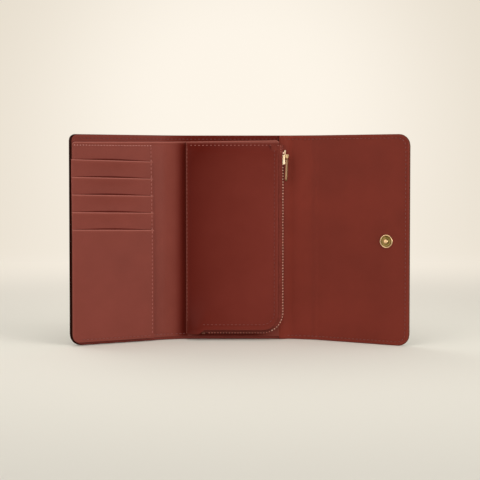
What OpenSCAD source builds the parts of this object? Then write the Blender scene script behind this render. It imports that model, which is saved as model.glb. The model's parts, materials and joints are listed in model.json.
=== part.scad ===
// A tri-fold wallet that stands open on its lower edge: a card wing on the left, a zipped coin
// pocket in the middle and a snap flap on the right, round one shell of dark leather.
// Every panel is drawn in its own frame: x runs from its fold, y is the depth below the inner
// face of the shell, towards the reader, and z is the height.

/* [Panels] */
// Height of the wallet
panel_h = 150; // [135:1:170]
// Length of the card wing, from its fold to its free edge
card_wing_w = 71.9; // [66:0.1:75]
// Length of the snap flap, from its fold to its free edge
flap_w = 71; // [66:0.1:75]
// Corner radius of the free edges
corner_r = 8.5; // [4:0.5:12]
// Radius of the tighter top corner of the card wing
tight_corner_r = 4.5; // [3:0.5:12]
// Turn of each crease of the left spine as it stands open
left_crease_deg = 12.65; // [0:0.05:20]
// Turn of each crease of the right spine as it stands open
right_crease_deg = 13.5; // [0:0.05:20]

/* [Leather and lining] */
// Thickness of the outer leather
leather_t = 1.2; // [0.9:0.1:1.6]
// Thickness of the stiffening boards
board_t = 0.5; // [0.3:0.1:0.8]
// Thickness of the lining
lining_t = 0.4; // [0.3:0.1:0.6]
// Thickness of the leather divider that makes the bill compartment
divider_t = 0.5; // [0.4:0.1:0.8]
// Width of the bill compartment between lining and divider
bill_gap = 0.5; // [0.3:0.1:1]
// Lining's step back from the shell's edge
edge_margin = 0.8; // [0.5:0.1:1.5]
// Step back at the free edge of the card wing
wing_margin = 1.5; // [1:0.1:2.5]
// Drop of the divider's top edge below the shell's
divider_drop = 4.8; // [3:0.1:7]
// Height of the divider's lower edge above the shell's
divider_rise = 2.4; // [1.5:0.1:4]

/* [Card pockets] */
// Thickness of a card pocket
card_t = 0.4; // [0.3:0.1:0.5]
// Step from one pocket's mouth to the next
card_pitch = 12.4; // [11:0.1:14]
// Drop of the first mouth below the divider's top edge
card_first_drop = 13; // [11:0.5:16]
// Overlap of each pocket under the next one
card_lap = 4; // [3:0.5:6]
// Distance of the pockets from the wing's fold
card_start = 9.9; // [8:0.1:13]

/* [Coin pocket] */
// Width of the coin pocket's leather front
coin_w = 66.4; // [60:0.1:70]
// Thickness of the coin pocket's leather front
coin_t = 0.7; // [0.5:0.1:1]
// Thickness of the coin pocket's cloth lining
coin_lining_t = 0.3; // [0.2:0.05:0.4]

/* [Zip] */
// Distance of the teeth from the edge of the leather front
zip_reach = 3.5; // [3.2:0.1:4.5]
// Height of the lower run of teeth
zip_low_z = 5.7; // [5:0.1:8]
// Radius of the zip's corner
zip_corner_r = 14.7; // [12:0.1:18]
// Drop of the tapes' top ends below the shell's top edge
zip_top_drop = 12; // [12:0.5:16]
// Start of the lower run, from the coin pocket's left edge
zip_start = 12; // [12:0.5:20]
// Turn of the zip's face towards the reader
zip_tilt = 12; // [10:1:16]
// Tape thickness
tape_t = 0.4; // [0.3:0.05:0.5]
// Tape sewn under the leather front
tape_sewn = 5; // [4:0.5:7]
// Tooth pitch on one tape
tooth_pitch = 2.1; // [1.9:0.1:2.6]
// Tooth length along the zip
tooth_l = 1.2; // [1:0.1:1.4]
// Tooth thickness
tooth_t = 2.2; // [1.8:0.1:2.6]
// Half of the width of the closed chain
chain_half = 2.1; // [1.9:0.1:2.4]

/* [Slider] */
// Slider length
slider_l = 7; // [6:0.5:9]
// Thickness of the slider's plates
slider_plate_t = 0.8; // [0.6:0.1:1]
// Length of the pull tab, from its pivot
pull_l = 18.3; // [14:0.1:20]
// Width of the pull tab
pull_w = 4.2; // [3.4:0.1:5]
// Thickness of the pull tab
pull_t = 1.3; // [1:0.1:1.6]
// Radius of the pin that the pull hangs on
pull_pin_r = 0.5; // [0.4:0.05:0.6]

/* [Snap] */
// Distance of the stud from the flap's fold
stud_at = 54.1; // [45:0.1:58]
// Height of the snap above the lower edge
snap_z = 74; // [60:1:90]
// Radius of the stud's flange
stud_r = 4.75; // [4.2:0.05:5.5]
// Radius of the stud's head
stud_head_r = 1.95; // [1.7:0.05:2.2]
// Height of the stud's head
stud_head_h = 1.6; // [1.3:0.1:1.8]
// Thickness of the stud's flange
stud_flange_t = 0.8; // [0.6:0.1:1]
// Radius of the socket
socket_r = 5.2; // [4.6:0.1:6]
// Height of the socket
socket_h = 2.2; // [2.1:0.1:2.6]
// Radius of the cap on the outside of the flap
cap_r = 6.2; // [5.5:0.1:7]
// Thickness of the cap
cap_t = 1.4; // [1:0.1:1.8]
// Radius of the rivet posts
post_r = 1.5; // [1.2:0.05:1.7]

/* [Clearances] */
// Between two layers that lie on each other
layer_clear = 0.05; // [0.03:0.01:0.08]
// Beside a fold's axis, on each side
fold_clear = 0.15; // [0.12:0.01:0.25]
// Between the panels of the closed wallet
closed_clear = 0.4; // [0.3:0.05:0.6]
// Between the slider and the chain or tapes
slider_clear = 0.25; // [0.2:0.01:0.35]
// Between the slider's pull and the closed right spine
pull_clear = 0.25; // [0.2:0.01:0.4]
// Radial clearance of the pull on its pin
pin_clear = 0.08; // [0.05:0.01:0.1]
// Radial clearance of posts and heads in their holes
hole_clear = 0.3; // [0.2:0.05:0.4]

/* [Hidden] */

OUTER = [0.16, 0.10, 0.09];
RED = [0.46, 0.19, 0.16];
CLOTH = [0.33, 0.10, 0.09];
BRASS = [0.75, 0.60, 0.36];
BOARD = [0.62, 0.55, 0.45];

big = 400;
arc_steps = 12;
snap_fn = 64;
card_count = 5;

// Depths of the layers below the inner face of the shell
board_d = layer_clear;
lining_d = board_d + board_t + layer_clear;
divider_d = lining_d + lining_t + bill_gap;
divider_face_d = divider_d + divider_t;
spine_lining_d = layer_clear;
card_base_d = divider_face_d + layer_clear;
card_step_d = card_t + layer_clear;
wing_stack_d = card_base_d + card_count * card_step_d;
flap_stack_d = lining_d + lining_t;

// Coin pocket: its cloth back, its two tapes and its leather front
coin_back_d = divider_face_d + layer_clear;
coin_back_face_d = coin_back_d + coin_lining_t;
coin_bag_edge_d = coin_back_face_d + layer_clear;
coin_edge_d = coin_bag_edge_d + coin_lining_t + layer_clear;
coin_left = divider_face_d + closed_clear;
coin_right = coin_left + coin_w;
tape_back_d = coin_back_d + tape_t / 2;

// Zip: the chain's centre, and the slider round it
tooth_half_gap = 0.5;
chain_u = tooth_t / 2;
plate_in_u = chain_u + slider_clear;
plate_out_u = plate_in_u + slider_plate_t;
flange_v = chain_half + slider_clear;
flange_t = 0.5;
slider_half = flange_v + flange_t;
slider_web_half = tooth_half_gap / 2;
slot_u = tape_t / 2 + slider_clear;
zip_x = coin_right + zip_reach;
zip_d = tape_back_d + tape_t / 2 + slider_clear + slider_half * cos(zip_tilt)
    + plate_out_u * sin(zip_tilt);
tape_front_d = zip_d + (slider_half + slider_clear) * cos(zip_tilt);
coin_front_d = tape_front_d + tape_t / 2 + layer_clear + coin_t;
coin_low_z = zip_low_z + zip_reach;
zip_cx = zip_x - zip_corner_r;
zip_cz = zip_low_z + zip_corner_r;
zip_top_z = panel_h - zip_top_drop;
zip_start_x = coin_left + zip_start;
straight_l = zip_top_z - zip_cz;
arc_l = PI * zip_corner_r / 2;
low_l = zip_cx - zip_start_x;
stop_l = 1.6;
stop_gap = 0.2;
end_stop_l = 2.2;
tape_tail = 1.5;
clasp_l = 0.8;
clasp_u = tape_t / 2 + layer_clear;
clasp_v = chain_half - clasp_l - layer_clear;

// Edges of the coin pocket: it slopes up to its front outside the tapes' ends
coin_corner_r = zip_corner_r - zip_reach;
coin_slope_x = zip_start_x - tape_tail - stop_gap;
coin_slope_z = zip_top_z + layer_clear;
coin_left_z = zip_low_z - stop_gap;
bag_inset = tape_sewn + layer_clear;
bag_corner_r = coin_corner_r - bag_inset;

// Slider at the closed end of the zip, and its pull
slider_rest_gap = 0.6;
slider_top_z = zip_top_z - stop_gap - stop_l - slider_rest_gap;
slider_low_z = slider_top_z - slider_l;
slider_web_h = 1.8;
pull_z = slider_top_z - slider_web_h / 2;
eye_wall = 0.62;
eye_gap = 0.15;
eye_hole_r = pull_pin_r + pin_clear;
eye_r = eye_hole_r + eye_wall;
eye_half = 0.85;
pin_u = plate_out_u + eye_r + eye_gap;
ear_v = eye_half + eye_gap;
ear_t = 0.6;
ear_half_z = 1.2;
ear_wall = 0.3;
ear_out_u = pin_u + pull_pin_r + ear_wall;
neck_l = sqrt(pow(pin_u - plate_out_u, 2) + pow(ear_half_z, 2)) + 2 * eye_gap;
shoulder_l = 1.2;
pull_end_r = pull_w / 2;
pull_reach = (pin_u + max(eye_r, pull_t / 2)) * cos(zip_tilt)
    + max(eye_half, pull_w / 2) * sin(zip_tilt);

// Spines: the closed wallet's layers add up to their widths
middle_w = zip_x + pull_reach + pull_clear + spine_lining_d + lining_t;
left_spine_w = coin_front_d + closed_clear + wing_stack_d;
snap_gap = stud_flange_t + socket_h + fold_clear;
right_spine_w = left_spine_w + leather_t + snap_gap + flap_stack_d;
socket_at = middle_w - stud_at;

// Snap parts
rivet_r = 4;
socket_floor = 0.4;
stud_neck_r = stud_head_r - 0.2;

// Inner edges
divider_top_z = panel_h - divider_drop;
divider_reach = 1.4;
divider_right = coin_right + divider_reach;
card_step_in = 0.6;
card_end = card_wing_w - wing_margin - card_step_in;
panel_corner_r = 2;

// The whole wallet is centred on the origin at the foot of its box
wing_deg = 2 * left_crease_deg;
flap_deg = 2 * right_crease_deg;
low_x = -left_spine_w * cos(left_crease_deg) - card_wing_w * cos(wing_deg)
    - leather_t * sin(wing_deg);
high_x = middle_w + right_spine_w * cos(right_crease_deg) + flap_w * cos(flap_deg)
    + leather_t * sin(flap_deg);
wing_front = left_spine_w * sin(left_crease_deg) + card_wing_w * sin(wing_deg);
flap_front = right_spine_w * sin(right_crease_deg) + flap_w * sin(flap_deg);
wing_front_d = left_spine_w * sin(left_crease_deg) + card_end * sin(wing_deg)
    + wing_stack_d * cos(wing_deg);
flap_front_d = right_spine_w * sin(right_crease_deg)
    + (flap_w - edge_margin) * sin(flap_deg) + flap_stack_d * cos(flap_deg);
front_d = max(wing_front, flap_front, wing_front_d, flap_front_d);
shift_x = -(low_x + high_x) / 2;
shift_y = (front_d - leather_t) / 2;

// Points of a quarter circle about a centre, from one angle to another
function quarter(cx, cz, r, from) =
    [for (i = [0:arc_steps]) [cx + r * cos(from + 90 * i / arc_steps),
        cz + r * sin(from + 90 * i / arc_steps)]];

// A point in the zip's section: u is out of the chain's face and v is across it, to the front
function zip_pt(u, v) = [zip_x + u * cos(zip_tilt) - v * sin(zip_tilt),
    zip_d + u * sin(zip_tilt) + v * cos(zip_tilt)];

// The place across the chain where a line at u meets the depth d
function v_at(u, d) = (d - zip_d - u * sin(zip_tilt)) / cos(zip_tilt);

// A layer's distance from a fold, so that two layers meet without touching as it closes
function fold_off(d) = max(d, 0) + fold_clear;

// Frames of the panels
module stand() {
    translate([shift_x, shift_y, 0]) children();
}
module on_middle() {
    stand() mirror([0, 1, 0]) children();
}
module on_left_spine() {
    stand() rotate([0, 0, 180 + left_crease_deg]) children();
}
module on_card_wing() {
    on_left_spine() translate([left_spine_w, 0, 0]) rotate([0, 0, left_crease_deg]) children();
}
module on_right_spine() {
    stand() translate([middle_w, 0, 0]) rotate([0, 0, -right_crease_deg])
        mirror([0, 1, 0]) children();
}
module on_flap() {
    on_right_spine() translate([right_spine_w, 0, 0]) rotate([0, 0, right_crease_deg])
        children();
}

// An upright sheet from x0 to x1, with its far corners rounded
module sheet(x0, x1, d, t, z0, z1, r_top = 0, r_low = 0) {
    translate([0, d + t, 0]) rotate([90, 0, 0]) linear_extrude(t)
        polygon(concat([[x0, z1], [x0, z0]],
            r_low > 0 ? quarter(x1 - r_low, z0 + r_low, r_low, 270) : [[x1, z0]],
            r_top > 0 ? quarter(x1 - r_top, z1 - r_top, r_top, 0) : [[x1, z1]]));
}

// A round hole through every layer at x, z
module hole(x, z, r) {
    translate([x, -big / 2, z]) rotate([-90, 0, 0]) cylinder(h = big, r = r, $fn = snap_fn);
}

// A turned piece on a layer: its profile is radius by height below the depth d
module turned(x, z, d) {
    translate([x, d, z]) rotate([-90, 0, 0]) rotate_extrude($fn = snap_fn) children();
}

module shell_sheet(x1, r_top = 0, r_low = 0) {
    color(OUTER) sheet(fold_clear, x1, -leather_t, leather_t, 0, panel_h, r_top, r_low);
}
module lining_sheet(x0, x1, d, r_top = 0, r_low = 0) {
    color(RED) sheet(x0, x1, d, lining_t, edge_margin, panel_h - edge_margin, r_top, r_low);
}

// Middle panel
module shell_middle() {
    on_middle() shell_sheet(middle_w - fold_clear);
}
module board_middle() {
    off = fold_off(board_d + board_t);
    color(BOARD) on_middle() sheet(off, middle_w - off, board_d, board_t,
        edge_margin, panel_h - edge_margin);
}
module bill_lining_middle() {
    off = fold_off(lining_d + lining_t);
    on_middle() lining_sheet(off, middle_w - off, lining_d);
}
module bill_divider() {
    color(RED) on_middle() sheet(fold_off(divider_face_d), divider_right, divider_d, divider_t,
        divider_rise, divider_top_z);
}

// Coin pocket
module coin_pocket_back() {
    color(CLOTH) on_middle() sheet(coin_left, coin_right - bag_inset, coin_back_d,
        coin_lining_t, coin_low_z + bag_inset, divider_top_z - layer_clear, 0, bag_corner_r);
}
// The space under a face that slopes up from the sewn left and top edges
module pocket_space(edge_d, front_d, x1, z0) {
    intersection() {
        translate([0, 0, -big / 2]) linear_extrude(big) polygon([[coin_left, 0],
            [coin_left, edge_d], [coin_slope_x, front_d], [x1, front_d], [x1, 0]]);
        translate([-big / 2, 0, 0]) rotate([90, 0, 90]) linear_extrude(big) polygon([[0, z0],
            [front_d, z0], [front_d, coin_slope_z], [edge_d, divider_top_z],
            [0, divider_top_z]]);
    }
}
// A layer of the front, t thick: its lower edge is at z0, and at z_left beside the sewn side
module coin_face(edge_d, d, t, x1, z0, z_left, corner) {
    intersection() {
        difference() {
            pocket_space(edge_d + t, d + t, x1, z_left);
            pocket_space(edge_d, d, x1 + 1, z_left - 1);
        }
        translate([0, big / 2, 0]) rotate([90, 0, 0]) linear_extrude(big)
            polygon(concat([[0, panel_h], [0, z_left], [coin_slope_x - z0 + z_left, z_left],
                [coin_slope_x, z0]], quarter(x1 - corner, z0 + corner, corner, 270),
                [[x1, panel_h]]));
    }
}
module coin_pocket_front() {
    color(RED) on_middle() coin_face(coin_edge_d, coin_front_d - coin_t, coin_t, coin_right,
        coin_low_z, coin_left_z, coin_corner_r);
}
module coin_pocket_front_lining() {
    t = coin_lining_t;
    z0 = coin_low_z + bag_inset;
    color(CLOTH) on_middle() coin_face(coin_bag_edge_d, coin_front_d - coin_t - layer_clear - t,
        t, coin_right - bag_inset, z0, z0, bag_corner_r);
}

// Zip
// A section swept down the side, round the corner and along the foot of the coin pocket
module along_zip_swept(extra) {
    translate([0, 0, zip_cz]) linear_extrude(straight_l) children();
    translate([zip_cx, 0, zip_cz]) rotate([-90, 0, 0]) rotate_extrude(angle = 90, $fn = 96)
        translate([-zip_cx, 0]) children();
    translate([zip_cx, 0, zip_cz]) rotate([0, 90, 0]) translate([0, 0, -low_l - extra])
        linear_extrude(low_l + extra) translate([-zip_cx, 0]) children();
}
// A short length of a section at the distance s from the zip's top end
module at_zip(s, l) {
    turn = (s - straight_l) / zip_corner_r * 180 / PI;
    if (s <= straight_l)
        translate([0, 0, zip_top_z - s - l / 2]) linear_extrude(l) children();
    else if (turn < 90)
        translate([zip_cx, 0, zip_cz]) rotate([0, turn, 0]) translate([0, 0, -l / 2])
            linear_extrude(l) translate([-zip_cx, 0]) children();
    else
        translate([zip_cx - (s - straight_l - arc_l), 0, zip_cz]) rotate([0, 90, 0])
            translate([0, 0, -l / 2]) linear_extrude(l) translate([-zip_cx, 0]) children();
}
module tape(side, d) {
    h = tape_t / 2;
    tip_v = side * (chain_half - clasp_l);
    run_x = coin_right - tape_sewn;
    polygon([zip_pt(h, tip_v), zip_pt(h, v_at(h, d + side * h)), [run_x, d + side * h],
        [run_x, d - side * h], zip_pt(-h, v_at(-h, d - side * h)), zip_pt(-h, tip_v)]);
}
module zip_tape_front() {
    color(CLOTH) on_middle() along_zip_swept(tape_tail) tape(1, tape_front_d);
}
module zip_tape_back() {
    color(CLOTH) on_middle() along_zip_swept(tape_tail) tape(-1, tape_back_d);
}
// A tooth or stop that clasps the edge of one tape
module clasp(side, u, v_in, v_out) {
    polygon([zip_pt(u, side * v_in), zip_pt(u, side * v_out), zip_pt(clasp_u, side * v_out),
        zip_pt(clasp_u, side * clasp_v), zip_pt(-clasp_u, side * clasp_v),
        zip_pt(-clasp_u, side * v_out), zip_pt(-u, side * v_out), zip_pt(-u, side * v_in)]);
}
module teeth(side, first) {
    last = straight_l + arc_l + low_l - end_stop_l;
    for (s = [first:tooth_pitch:last])
        at_zip(s, tooth_l) clasp(side, chain_u, tooth_half_gap, chain_half);
}
module zip_teeth_front() {
    color(BRASS) on_middle() teeth(1, 2 * stop_l);
}
module zip_teeth_back() {
    color(BRASS) on_middle() teeth(-1, 2 * stop_l + tooth_pitch / 2);
}
module zip_top_stops() {
    color(BRASS) on_middle() for (side = [-1, 1])
        at_zip(stop_l / 2 + stop_gap, stop_l) clasp(side, chain_u + slider_clear / 2,
            tooth_half_gap, chain_half);
}
module zip_end_stop() {
    color(BRASS) on_middle() at_zip(straight_l + arc_l + low_l, end_stop_l) difference() {
        polygon([zip_pt(chain_u, -chain_half), zip_pt(chain_u, chain_half),
            zip_pt(-chain_u, chain_half), zip_pt(-chain_u, -chain_half)]);
        for (side = [-1, 1])
            polygon([zip_pt(clasp_u, side * clasp_v), zip_pt(clasp_u, side * big),
                zip_pt(-clasp_u, side * big), zip_pt(-clasp_u, side * clasp_v)]);
    }
}

// Slider and pull
module slider_plate(side) {
    w = slider_half;
    f = flange_v;
    polygon([zip_pt(side * slot_u, -w), zip_pt(side * plate_out_u, -w),
        zip_pt(side * plate_out_u, w), zip_pt(side * slot_u, w), zip_pt(side * slot_u, f),
        zip_pt(side * plate_in_u, f), zip_pt(side * plate_in_u, -f),
        zip_pt(side * slot_u, -f)]);
}
module zip_slider() {
    web_u = (plate_in_u + plate_out_u) / 2;
    color(BRASS) on_middle() union() {
        for (side = [-1, 1])
            translate([0, 0, slider_low_z]) linear_extrude(slider_l) slider_plate(side);
        translate([0, 0, slider_top_z - slider_web_h]) linear_extrude(slider_web_h)
            polygon([zip_pt(web_u, -slider_web_half), zip_pt(web_u, slider_web_half),
                zip_pt(-web_u, slider_web_half), zip_pt(-web_u, -slider_web_half)]);
    }
}
// The pivot's frame: x out of the slider's face, y across the zip, z up
module at_pivot() {
    p = zip_pt(pin_u, 0);
    on_middle() translate([p[0], p[1], pull_z]) rotate([0, 0, zip_tilt]) children();
}
module slider_bail() {
    foot_u = plate_out_u - pin_u;
    pin_half = ear_v + ear_t / 2;
    color(BRASS) at_pivot() union() {
        for (side = [-1, 1])
            translate([foot_u, side > 0 ? ear_v : -ear_v - ear_t, -ear_half_z])
                cube([ear_out_u - plate_out_u, ear_t, 2 * ear_half_z]);
        translate([0, pin_half, 0]) rotate([90, 0, 0])
            cylinder(h = 2 * pin_half, r = pull_pin_r, $fn = 48);
    }
}
module pull_tab() {
    shoulder_z = -neck_l - shoulder_l;
    end_z = pull_end_r - pull_l;
    color(BRASS) at_pivot() difference() {
        union() {
            translate([0, eye_half, 0]) rotate([90, 0, 0])
                cylinder(h = 2 * eye_half, r = eye_r, $fn = 48);
            translate([-pull_t / 2, 0, 0]) rotate([90, 0, 90]) linear_extrude(pull_t)
                polygon(concat([[-eye_half, 0], [-eye_half, -neck_l],
                    [-pull_end_r, shoulder_z]], quarter(0, end_z, pull_end_r, 180),
                    quarter(0, end_z, pull_end_r, 270),
                    [[pull_end_r, shoulder_z], [eye_half, -neck_l], [eye_half, 0]]));
        }
        translate([0, big / 2, 0]) rotate([90, 0, 0])
            cylinder(h = big, r = eye_hole_r, $fn = 48);
    }
}

// Left spine
module shell_left_spine() {
    on_left_spine() shell_sheet(left_spine_w - fold_clear);
}
module bill_lining_left_spine() {
    off = fold_off(lining_d + lining_t);
    on_left_spine() lining_sheet(off, left_spine_w - off, lining_d);
}
module divider_left_spine() {
    off = fold_off(divider_face_d);
    color(RED) on_left_spine() sheet(off, left_spine_w - off, divider_d, divider_t,
        divider_rise, divider_top_z);
}

// Card wing
module shell_card_wing() {
    difference() {
        on_card_wing() shell_sheet(card_wing_w, tight_corner_r, corner_r);
        on_card_wing() hole(socket_at, snap_z, post_r + hole_clear);
    }
}
module board_card_wing() {
    color(BOARD) difference() {
        on_card_wing() sheet(fold_off(board_d + board_t), card_wing_w - wing_margin, board_d,
            board_t, edge_margin, panel_h - edge_margin, tight_corner_r - edge_margin,
            corner_r - edge_margin);
        on_card_wing() hole(socket_at, snap_z, rivet_r + hole_clear);
    }
}
module bill_lining_card_wing() {
    on_card_wing() lining_sheet(fold_off(lining_d + lining_t), card_wing_w - wing_margin,
        lining_d, tight_corner_r - edge_margin, corner_r - edge_margin);
}
module card_panel() {
    color(RED) on_card_wing() sheet(fold_off(divider_face_d), card_wing_w - wing_margin,
        divider_d, divider_t, divider_rise, divider_top_z, panel_corner_r,
        corner_r - divider_rise);
}
// A pocket's sheet: each reaches a little way under the next, and the last to the foot
module card_pocket(i) {
    mouth = divider_top_z - card_first_drop - (i - 1) * card_pitch;
    last = i == card_count;
    low = last ? divider_rise + layer_clear : mouth - card_pitch - card_lap;
    color(RED) on_card_wing() sheet(card_start, card_end, card_base_d + (i - 1) * card_step_d,
        card_t, low, mouth, 0, last ? corner_r - divider_rise - 1 : 0);
}
module snap_socket() {
    cup_r = stud_head_r + hole_clear;
    bore_r = post_r + layer_clear;
    color(BRASS) on_card_wing() mirror([0, 1, 0]) turned(socket_at, snap_z, leather_t)
        polygon([[bore_r, 0], [socket_r, 0], [socket_r, socket_h * 0.4],
            [socket_r - 1, socket_h], [cup_r, socket_h], [cup_r, socket_floor],
            [bore_r, socket_floor]]);
}
module snap_socket_rivet() {
    color(BRASS) on_card_wing() mirror([0, 1, 0]) turned(socket_at, snap_z, 0)
        polygon([[0, -board_t], [rivet_r, -board_t], [rivet_r, 0], [post_r, 0],
            [post_r, leather_t + socket_floor], [0, leather_t + socket_floor]]);
}

// Right spine
module shell_right_spine() {
    on_right_spine() shell_sheet(right_spine_w - fold_clear);
}
module lining_right_spine() {
    off = fold_off(spine_lining_d + lining_t);
    on_right_spine() lining_sheet(off, right_spine_w - off, spine_lining_d);
}

// Snap flap
module shell_flap() {
    difference() {
        on_flap() shell_sheet(flap_w, corner_r, corner_r);
        on_flap() hole(stud_at, snap_z, post_r + hole_clear);
    }
}
module board_flap() {
    r = corner_r - edge_margin;
    color(BOARD) difference() {
        on_flap() sheet(fold_off(board_d + board_t), flap_w - edge_margin, board_d, board_t,
            edge_margin, panel_h - edge_margin, r, r);
        on_flap() hole(stud_at, snap_z, post_r + hole_clear);
    }
}
module lining_flap() {
    r = corner_r - edge_margin;
    difference() {
        on_flap() lining_sheet(fold_off(lining_d + lining_t), flap_w - edge_margin, lining_d, r, r);
        on_flap() hole(stud_at, snap_z, post_r + hole_clear);
    }
}
module snap_stud() {
    rim = 0.6;
    bore_r = post_r + layer_clear;
    top = stud_flange_t + stud_head_h;
    color(BRASS) on_flap() turned(stud_at, snap_z, flap_stack_d)
        polygon([[bore_r, 0], [stud_r, 0], [stud_r, stud_flange_t],
            [stud_r - rim, stud_flange_t], [stud_r - 2 * rim, stud_flange_t / 2],
            [stud_neck_r, stud_flange_t / 2], [stud_head_r, top - stud_head_h * 0.4],
            [stud_head_r - 0.5, top], [0, top], [0, stud_flange_t], [bore_r, stud_flange_t]]);
}
module snap_cap() {
    post_end = leather_t + flap_stack_d + stud_flange_t - layer_clear;
    color(BRASS) on_flap() mirror([0, 1, 0]) turned(stud_at, snap_z, leather_t)
        polygon([[0, -post_end], [post_r, -post_end], [post_r, 0],
            [cap_r, 0], [cap_r, cap_t * 0.4], [cap_r - cap_t, cap_t], [0, cap_t]]);
}

shell_middle();
board_middle();
bill_lining_middle();
bill_divider();
coin_pocket_back();
coin_pocket_front();
coin_pocket_front_lining();
zip_tape_front();
zip_tape_back();
zip_teeth_front();
zip_teeth_back();
zip_top_stops();
zip_end_stop();
shell_left_spine();
bill_lining_left_spine();
divider_left_spine();
shell_card_wing();
board_card_wing();
bill_lining_card_wing();
card_panel();
card_pocket(1);  // card_pocket_1
card_pocket(2);  // card_pocket_2
card_pocket(3);  // card_pocket_3
card_pocket(4);  // card_pocket_4
card_pocket(5);  // card_pocket_5
snap_socket();
snap_socket_rivet();
shell_right_spine();
lining_right_spine();
shell_flap();
board_flap();
lining_flap();
snap_stud();
snap_cap();
zip_slider();
slider_bail();
pull_tab();
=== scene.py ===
"""A tri-fold wallet in dark leather with red leather inside, standing open on its lower edge."""
import json
import math

import bmesh
import bpy
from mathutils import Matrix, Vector


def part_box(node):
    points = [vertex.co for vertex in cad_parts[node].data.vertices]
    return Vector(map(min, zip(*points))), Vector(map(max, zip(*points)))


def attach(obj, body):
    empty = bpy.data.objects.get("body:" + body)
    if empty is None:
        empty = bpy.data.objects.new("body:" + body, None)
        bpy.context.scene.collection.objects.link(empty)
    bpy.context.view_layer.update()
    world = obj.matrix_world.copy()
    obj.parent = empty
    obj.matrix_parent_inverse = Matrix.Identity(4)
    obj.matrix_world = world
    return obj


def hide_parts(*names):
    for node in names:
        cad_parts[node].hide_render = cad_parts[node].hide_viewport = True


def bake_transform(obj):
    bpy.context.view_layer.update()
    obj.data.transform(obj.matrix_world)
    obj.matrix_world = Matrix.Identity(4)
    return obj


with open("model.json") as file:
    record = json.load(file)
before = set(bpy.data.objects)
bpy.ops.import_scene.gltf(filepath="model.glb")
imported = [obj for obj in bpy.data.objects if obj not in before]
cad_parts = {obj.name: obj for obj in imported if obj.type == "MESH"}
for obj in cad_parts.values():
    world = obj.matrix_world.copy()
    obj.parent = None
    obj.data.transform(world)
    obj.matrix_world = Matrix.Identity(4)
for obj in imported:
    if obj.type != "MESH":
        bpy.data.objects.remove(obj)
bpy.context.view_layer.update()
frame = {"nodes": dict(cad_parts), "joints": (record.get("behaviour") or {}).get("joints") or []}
MM = 0.001

# The hide: the wallet is laid out along one line on the inner face of the outer leather, from the
# card wing's free edge to the flap's, and that line bends a little at each of its four creases.
# A place on it is s from the left crease, d in front of the outer leather, and z high.
BEND_HALF = 3.0
MIDDLE_BEND = 2.2
SPINE_BEND = 3.6
hinge = {joint["name"]: joint for joint in frame["joints"]}
wing_crease = Vector(hinge["card_wing_fold"]["pos_m"])
left_crease = Vector(hinge["left_spine_fold"]["pos_m"])
right_crease = Vector(hinge["right_spine_fold"]["pos_m"])
flap_crease = Vector(hinge["flap_fold"]["pos_m"])
left_turn = -math.radians(hinge["left_spine_fold"]["range_deg"][0])
right_turn = -math.radians(hinge["right_spine_fold"]["range_deg"][0])


def heading(angle):
    return Vector((math.cos(angle), math.sin(angle), 0))


panel_run = [heading(a) for a in (2 * left_turn, left_turn, 0, -right_turn, -2 * right_turn)]


def reach(node, origin, direction):
    """How far a solid reaches from a point along a direction, in millimetres."""
    return max((v.co - origin).dot(direction) for v in frame["nodes"][node].data.vertices) / MM


spine_w = (left_crease - wing_crease).length / MM
middle_w = (right_crease - left_crease).length / MM
right_spine_w = (flap_crease - right_crease).length / MM
wing_end = -spine_w - reach("shell_card_wing", wing_crease, -panel_run[0])
flap_start = middle_w + right_spine_w
flap_end = flap_start + reach("shell_flap", flap_crease, panel_run[4])
panel_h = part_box("shell_middle")[1].z / MM
crease_at = [(-spine_w, wing_crease), (0, left_crease), (middle_w, right_crease),
             (flap_start, flap_crease)]


def place(s, d, z):
    """The point of the frame at s along the hide, d in front of it and z high, all in millimetres."""
    k = sum(s > at + BEND_HALF for at, _ in crease_at)
    run = panel_run[k]
    at, corner = crease_at[min(k, len(crease_at) - 1)]
    spot = corner / MM + run * (s - at)
    if k < len(crease_at) and s > at - BEND_HALF:
        after = panel_run[k + 1]
        run_in = (BEND_HALF - (s - at)) / (2 * BEND_HALF)
        spot = corner / MM - run * BEND_HALF * run_in ** 2 + after * BEND_HALF * (1 - run_in) ** 2
        run = (run * run_in + after * (1 - run_in)).normalized()
    return Vector((spot.x + d * run.y, spot.y - d * run.x, z)) * MM


def follow(piece, part):
    """Lets a piece ride on its panel; a piece on a fold line is left fixed where it is and doesn't bend."""
    bends = {
        "wing_crease": ("left_spine", "card_wing", BEND_HALF - spine_w, -BEND_HALF - spine_w),
        "left_crease": ("middle_panel", "left_spine", MIDDLE_BEND, -SPINE_BEND),
        "right_crease": ("middle_panel", "right_spine", middle_w - MIDDLE_BEND, middle_w + SPINE_BEND),
        "flap_crease": ("right_spine", "flap", flap_start - BEND_HALF, flap_start + BEND_HALF),
    }
    if part in bends:
        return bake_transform(piece)
    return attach(piece, part)


# Leather grain: tanned calf has fine creased cells, and its dye lies a little unevenly.
# The group gives the grain's height, the dye's cloudiness and the soft waves of a sewn panel.
def new_group(name, numbers, results):
    group = bpy.data.node_groups.new(name, "ShaderNodeTree")
    for label, value in numbers:
        group.interface.new_socket(label, in_out="INPUT", socket_type="NodeSocketFloat")
        group.interface.items_tree[label].default_value = value
    for label in results:
        group.interface.new_socket(label, in_out="OUTPUT", socket_type="NodeSocketFloat")
    return group, group.nodes.new("NodeGroupInput"), group.nodes.new("NodeGroupOutput")


def add_node(tree, kind, values=(), links=(), **settings):
    """A node with its settings, its plain input values and what its inputs come from."""
    node = tree.nodes.new(kind)
    for key, value in settings.items():
        setattr(node, key, value)
    for socket, value in dict(values).items():
        node.inputs[socket].default_value = value
    for socket, source in dict(links).items():
        tree.links.new(source, node.inputs[socket])
    return node


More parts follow.
